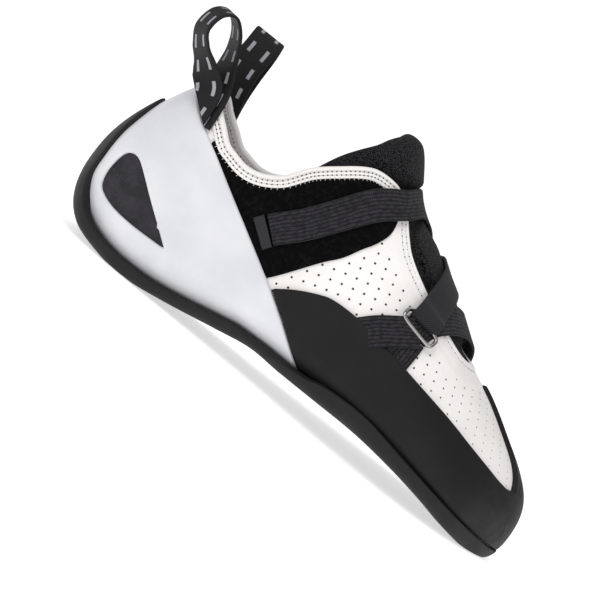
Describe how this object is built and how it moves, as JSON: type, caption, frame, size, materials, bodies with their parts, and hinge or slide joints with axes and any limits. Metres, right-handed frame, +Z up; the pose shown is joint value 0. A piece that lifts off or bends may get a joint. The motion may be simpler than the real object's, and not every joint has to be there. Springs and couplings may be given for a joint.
{
  "type": "climbing shoe",
  "caption": "Low climbing shoe with rubber rands, a stiff sole that runs up the heel, a padded tongue, a hook strap threaded through rings, and pull loops at the heel.",
  "frame": {"origin": "in the heel's flat spot, where the heel rests on the floor", "axes": "+X from heel to toe, +Z up from the floor, -Y the outside of a right foot and +Y the inside"},
  "size_m": [0.2649, 0.1002, 0.1309],
  "materials": {
    "microfibre": "matt white microfibre",
    "padded_mesh": "padded knitted mesh, matt",
    "board": "fibre board, matt",
    "sole_rubber": "smooth rubber, matt",
    "rand_rubber": "smooth rubber sheet, matt",
    "pale_rubber": "off-white rubber, satin",
    "pebbled_rubber": "pebbled dark rubber",
    "nap": "short black loop nap",
    "binding_cloth": "stitched pale cloth",
    "webbing": "ribbed elastic webbing",
    "tag_cloth": "sealed strap end, satin",
    "smooth_webbing": "close-woven webbing",
    "dark_steel": "dark plated wire",
    "tape": "woven tape with pale stripes"
  },
  "bodies": {
    "root": {"upper": "microfibre", "tongue": "padded_mesh", "insole": "board", "outsole": "sole_rubber", "toe_rand": "rand_rubber", "heel_rand": "pale_rubber", "heel_window_outside": "pebbled_rubber", "heel_window_inside": "pebbled_rubber", "loop_panel": "nap", "collar_binding": "binding_cloth", "strap_upper": "webbing", "strap_tag": "tag_cloth", "strap_diagonal": "smooth_webbing", "strap_lower": "webbing", "ring_outside": "dark_steel", "ring_inside": "dark_steel", "ring_anchor_outside_under": "webbing", "ring_anchor_outside_over": "webbing", "ring_anchor_inside": "webbing", "pull_loop_outside": "tape", "pull_loop_inside": "tape"}
  },
  "joints": []
}
